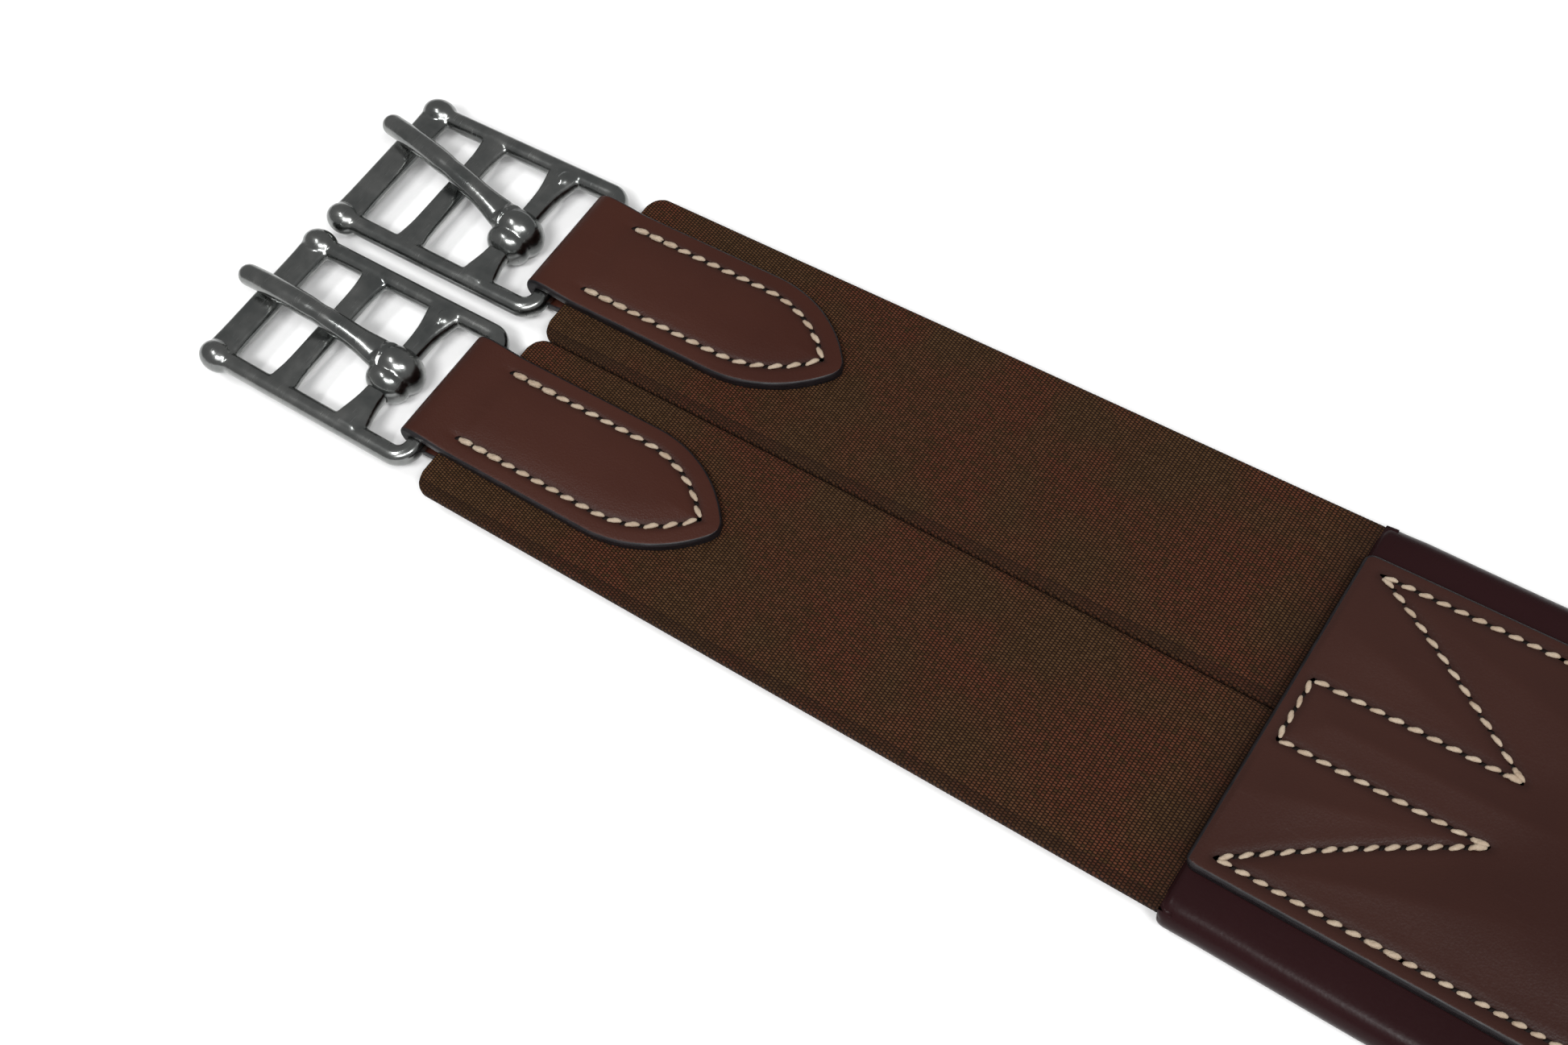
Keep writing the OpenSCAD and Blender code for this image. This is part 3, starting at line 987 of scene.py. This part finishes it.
# ---------- chapes
# A chape's seam: how far in its rows lie, its stitches, and the relief of groove, pillow and border
CHAPE_ROW = 4.5
CHAPE_PITCH = 4.15
CHAPE_THREAD_R = 0.48
CHAPE_GROOVE = 0.34
CHAPE_PILLOW = 0.5
CHAPE_BORDER = 0.18
CHAPE_STRAIGHT = CHAPE_REACH - CHAPE_POINT
POINT_OUT = CHAPE_POINT - POINT_ROUND
POINT_R = (POINT_OUT**2 / (CHAPE_HALF - POINT_ROUND) + CHAPE_HALF + POINT_ROUND) / 2
POINT_DROP = POINT_R - CHAPE_HALF
ROUND_FROM = CHAPE_STRAIGHT + POINT_OUT * POINT_R / (POINT_R - POINT_ROUND)
ROW_START = 3.0


def chape_half_at(x):
    """Half width of the chape: straight, then two arcs that run into a small round tip."""
    if x <= CHAPE_STRAIGHT:
        return CHAPE_HALF
    if x > ROUND_FROM:
        return max(math.sqrt(max(POINT_ROUND**2 - (x - CHAPE_REACH + POINT_ROUND) ** 2, 0)), 0.02)
    return math.sqrt(POINT_R**2 - (x - CHAPE_STRAIGHT) ** 2) - POINT_DROP


def inside_row(x, y):
    """How far points lie inside the chape's stitch row."""
    straight_in = CHAPE_HALF - CHAPE_ROW - np.abs(y)
    curved_in = (POINT_R - CHAPE_ROW) - np.hypot(x - CHAPE_STRAIGHT, np.abs(y) + POINT_DROP)
    return np.where(x > CHAPE_STRAIGHT, curved_in, straight_in)


def chape_relief(x, y):
    """Groove along the stitch rows, a soft pillow inside them and a dropped border outside."""
    within = inside_row(x, y)
    fade = np.clip((x + 1) / 6, 0, 1)
    groove = CHAPE_GROOVE * np.exp(-((within / 0.85) ** 2))
    pillow = CHAPE_PILLOW * (1 - np.exp(-((np.maximum(within, 0) / 3.5) ** 2)))
    border = CHAPE_BORDER * np.clip(-within / CHAPE_ROW, 0, 1) ** 2
    return (pillow - groove - border) * fade


def chape_path():
    """Middle line of the leather in (x, z), from the lower tip round the bar to the upper tip."""
    layer = ELASTIC_THICK / 2 + CHAPE_THICK / 2
    ring = FOLD_R - CHAPE_THICK / 2
    tip_fine = 9
    step = 0.8
    tip = CHAPE_REACH - (1 - np.cos(np.linspace(0, pi / 2, 26))) * tip_fine
    flat = np.concatenate([tip, np.arange(tip[-1] - step, ROW_START, -step)])
    upper = [(x, layer) for x in flat]
    for t in np.linspace(0, 1, 14):
        ease = t * t * (3 - 2 * t)
        upper.append((ROW_START + (BAR_X - ROW_START) * t, layer + (ring - layer) * ease))
    bend = [
        (BAR_X - ring * sin(a), ring * cos(a)) for a in np.linspace(0, pi, 30)[1:-1]
    ]
    lower = [(x, -z) for x, z in reversed(upper)]
    return np.array(upper + bend + lower)


def build_chape(band):
    path = chape_path()
    tangent = np.gradient(path, axis=0)
    tangent /= np.linalg.norm(tangent, axis=1)[:, None]
    outward = np.column_stack([tangent[:, 1], -tangent[:, 0]])
    cells = 52
    under_cells = 14
    edge = 0.75
    rings, painted_seam_shade = [], []
    for (x, z), normal in zip(path, outward):
        half = chape_half_at(x)
        section = np.array(slab_section(half, CHAPE_THICK, edge, cells, under_cells))
        y, h = section[:, 0], section[:, 1]
        outside = h > CHAPE_THICK * 0.7
        # Painted shade along the stitch rows on the chape's outer face
        painted_seam_shade.append(np.exp(-(inside_row(x, y) ** 2)) * outside * (x > ROW_START))
        h = h + chape_relief(x, y) * h / CHAPE_THICK - CHAPE_THICK / 2
        rings.append(np.column_stack([x + normal[0] * h, y + CHAPE_SHIFT, z + normal[1] * h]))
    side_material = slab_side_material(CHAPE_HALF, CHAPE_THICK, edge, cells, under_cells)
    verts, faces, materials = loft(rings, side_material, 1)
    marks = np.concatenate([*painted_seam_shade, [0, 0]])
    verts = band.place(verts)
    skins = [CHAPE_LEATHER, EDGE]
    chape = make_object(f"{band.name}_chape_leather", verts, faces, skins, materials, painted_seam_shade=marks)
    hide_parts(f"{band.name}_chape")
    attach(chape, f"{band.name}_end")


def chape_row_line(side):
    """One stitch row, from beside the fold to the point, in the band's own (x, y)."""
    row_r = POINT_R - CHAPE_ROW
    last = math.acos(POINT_DROP / row_r)
    curve = [
        (CHAPE_STRAIGHT + row_r * sin(a), row_r * cos(a) - POINT_DROP)
        for a in np.linspace(0, last, 14)
    ]
    line = [(ROW_START, CHAPE_HALF - CHAPE_ROW)] + curve
    return [np.array([x, side * y + CHAPE_SHIFT]) for x, y in line]


def build_chape_stitching(band):
    face_z = ELASTIC_THICK / 2 + CHAPE_THICK
    parts = []
    for face in (1, -1):
        def height_at(point):
            relief = float(chape_relief(point[0], point[1] - CHAPE_SHIFT))
            return face * (face_z + relief + THREAD_PROUD)

        for side in (1, -1):
            doubled = (0, 1, 2) if face > 0 else ()
            parts += seam_parts(chape_row_line(side), CHAPE_PITCH, height_at, CHAPE_THREAD_R, face, doubled)
    verts, faces, materials = joined(parts)
    thread = make_object(f"{band.name}_chape_thread", band.place(verts), faces, [THREAD, HOLE_SHADE], materials)
    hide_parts(f"{band.name}_chape_stitching")
    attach(thread, f"{band.name}_end")


# ---------- buckles
# A tongue's bore clears its bar by a little. The front bar's middle lies FRONT_BAR_IN from the frame's end.
# The voxels and smoothing rounds set how soft each casting's fillets are.
BAR_BORE_R = 2.72
FRONT_BAR_IN = 4
FRAME_VOXEL = 0.36
TONGUE_VOXEL = 0.3
CAST_ROUNDS = 14


def frame_parts():
    """The frame's bars about the rear bar's axis, pointing along -X."""
    bend = [
        (-CORNER_R + CORNER_R * sin(a), RAIL_Y - CORNER_R + CORNER_R * cos(a), 0)
        for a in np.linspace(0, pi / 2, 12)
    ]
    rail = [(x, RAIL_Y, 0) for x in np.linspace(BALL_INSET - FRAME_REACH, -CORNER_R, 24)]
    half = rail + bend[1:]
    across = [(0, y, 0) for y in np.linspace(RAIL_Y - CORNER_R, -(RAIL_Y - CORNER_R), 16)]
    u_path = half + across[1:-1] + [(x, -y, z) for x, y, z in reversed(half)]
    parts = [tube(u_path, [(RAIL_R + 0.05, RAIL_R)] * len(u_path), power=2.3)]

    def bar(x, wide, tall, flare, reach):
        """A cross bar at x that flares into the rails over the length reach."""
        ys = np.linspace(-RAIL_Y, RAIL_Y, 41)
        swell = np.exp(-((RAIL_Y - np.abs(ys)) / reach) ** 2)
        radii = [(wide + flare * s, tall + 0.2 * (RAIL_R - tall) * s) for s in swell]
        return tube([(x, y, 0) for y in ys], radii, sides=28, power=3.2, undercut=0.4)

    parts.append(bar(-TONGUE_BAR, wide=2.58, tall=2.55, flare=2.1, reach=6.0))
    parts.append(bar(-MIDDLE_BAR, wide=3.0, tall=1.9, flare=1.0, reach=4.5))
    parts.append(bar(FRONT_BAR_IN - FRAME_REACH, wide=3.9, tall=2.2, flare=0.3, reach=4.0))
    for side in (1, -1):
        parts.append(ball((BALL_INSET - FRAME_REACH, side * RAIL_Y, 0.1), (4.7, 3.7, 3.75)))
    # The small bead at one end of the tongue bar
    parts.append(ball((1.2 - TONGUE_BAR, RAIL_Y - 2.9, 1.9), (1.7, 2.4, 1.2)))
    return parts


def tongue_bow():
    """Centre line of the tongue in (x, z): an arc from the eye over the front bar, as the design has it."""
    start = np.array([-TONGUE_BAR - 4.2, 2.8])
    rest = np.array([RAIL_R - FRAME_REACH, RAIL_R + TONGUE_R + 0.4])
    bow = 1.9
    past = 3.8
    run = start - rest
    chord = np.linalg.norm(run)
    radius = (chord**2 / 4 + bow**2) / (2 * bow)
    centre = (start + rest) / 2 + (radius - bow) / chord * np.array([run[1], -run[0]])
    a0 = math.atan2(start[1] - centre[1], start[0] - centre[0])
    a1 = math.atan2(rest[1] - centre[1], rest[0] - centre[0]) + past / radius
    return [
        (centre[0] + radius * cos(a), centre[1] + radius * sin(a))
        for a in np.linspace(a0, a1, 46)
    ]


def tongue_parts(lean, slide):
    """The tongue's arm, its domed eye and the small lobe beside the eye. lean turns the arm sideways."""
    turn = math.radians(lean)
    arc = [(-TONGUE_BAR - 1.5, 3.9)] + tongue_bow()
    out = np.array([x + TONGUE_BAR for x, _ in arc])
    path = [
        (d * cos(turn) - TONGUE_BAR, slide - d * sin(turn), z) for d, (_, z) in zip(out, arc)
    ]
    share = np.linspace(0, 1, len(path))
    waist = 0.22 * np.exp(-(((share - 0.45) / 0.05) ** 2))
    root = np.exp(-((share / 0.13) ** 2))
    wide = 2.75 - 0.15 * share - waist + 1.0 * root
    tall = 2.6 - 0.1 * share - waist * 0.6 + 0.1 * root
    parts = [tube(path, list(zip(tall, wide)), power=2.15, across=(sin(turn), cos(turn), 0))]
    parts.append(ball(path[-1], (2.6, 2.6, 2.5)))
    parts.append(ball((-TONGUE_BAR + 0.1, slide + 0.1, 0), (6.4, 5.0, 6.42), steps=24))
    parts.append(ball((-TONGUE_BAR + 0.2, slide - 3.9, 0.1), (5.5, 3.9, 5.2), steps=24))
    return parts


def tongue_bore():
    """Rod along the tongue bar's axis that clears the bar."""
    spots = np.linspace(-12, 12, 3)
    rings = [
        [
            (BAR_BORE_R * cos(a) - TONGUE_BAR, y, BAR_BORE_R * sin(a))
            for a in np.linspace(0, 2 * pi, 48, endpoint=False)
        ]
        for y in spots
    ]
    return loft(rings)


def build_buckles():
    frame_verts, frame_faces = cast_mesh("frame_pattern", frame_parts(), FRAME_VOXEL, CAST_ROUNDS)
    tongues = {
        pose: cast_mesh("tongue_pattern", tongue_parts(*pose), TONGUE_VOXEL, CAST_ROUNDS, tongue_bore())
        for pose in (STRAIGHT, *ASKEW.values())
    }
    for band in BANDS:
        at_bar = np.array([BAR_X, 0, 0])
        casting = make_object(
            f"{band.name}_buckle_casting", band.place(frame_verts + at_bar), frame_faces, [STEEL]
        )
        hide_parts(f"{band.name}_buckle_frame")
        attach(casting, f"{band.name}_frame")
        prong_verts, prong_faces = tongues[ASKEW.get(band.name, STRAIGHT)]
        prong_verts = band.place(prong_verts + at_bar)
        prong = make_object(f"{band.name}_tongue_prong", prong_verts, prong_faces, [STEEL])
        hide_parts(f"{band.name}_buckle_tongue")
        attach(prong, f"{band.name}_tongue")


# ---------- stage
def build_stage():
    floor_material = Nodes("studio_floor")
    floor_material.set(base_color=(0.93, 0.93, 0.93, 1), roughness=0.9)
    half = 4000
    corners = [(-half, -half, 0), (half, -half, 0), (half, half, 0), (-half, half, 0)]
    floor = make_object("studio_floor", corners, [(0, 1, 2, 3)], [floor_material.material])
    world = bpy.data.worlds.new("studio")
    world.use_nodes = True
    background = world.node_tree.nodes["Background"]
    background.inputs["Color"].default_value = (1, 1, 1, 1)
    background.inputs["Strength"].default_value = 0.3
    bpy.context.scene.world = world

    def softbox(name, place, aim, wide, tall, watts):
        lamp = bpy.data.lights.new(name, "AREA")
        lamp.shape = "RECTANGLE"
        lamp.size = wide
        lamp.size_y = tall
        lamp.energy = watts
        obj = add_object(name, lamp)
        obj.location = place
        obj.rotation_mode = "QUATERNION"
        obj.rotation_quaternion = (Vector(aim) - Vector(place)).to_track_quat("-Z", "Y")

    aim = (FIRST.origin[0] * MM + 0.1, 0, 0)
    softbox("key_left", (aim[0] + 0.25, -0.75, 1.25), aim, 0.45, 0.25, 10)
    softbox("key_right", (aim[0] + 0.8, -0.3, 1.25), aim, 0.45, 0.25, 10)
    softbox("tongue_strip", (aim[0] - 0.4, -0.22, 0.9), aim, 0.3, 0.05, 2)
    softbox("top_fill", (aim[0] + 0.6, -1.2, 1.9), aim, 1.2, 1.2, 10)


def build_camera():
    """Camera at the photograph's viewing angle: steeply down on the near end, turned and rolled."""
    azimuth = math.radians(48.64)
    elevation = math.radians(58.45)
    roll = math.radians(16.42)
    distance = 0.3805
    camera = bpy.data.cameras.new("camera")
    camera.sensor_width = 36
    camera.lens = 43.0
    camera.clip_start = 0.01
    obj = add_object("camera", camera)
    aim = Vector(tuple(FIRST.origin * MM)) + Vector((0.0754, 0.0098, 0.0012))
    level = cos(elevation)
    forward = Vector((-sin(azimuth) * level, cos(azimuth) * level, -sin(elevation)))
    obj.location = aim - forward * distance
    obj.rotation_mode = "QUATERNION"
    obj.rotation_quaternion = Quaternion(forward, roll) @ forward.to_track_quat("-Z", "Y")
    bpy.context.scene.camera = obj


# ---------- build
build_camera()
build_stage()
build_lining()
build_strap()
build_strap_stitching()
for one in BANDS:
    build_elastic(one)
    build_chape(one)
    build_chape_stitching(one)
build_buckles()
# The pieces inside the body keep their own shape
for node_name, node_material in (("foam_core", foam()), ("reinforcement_web", woven_web())):
    node_mesh = frame["nodes"][node_name].data
    node_mesh.materials.clear()
    node_mesh.materials.append(node_material)
bpy.context.scene.view_settings.view_transform = "Standard"
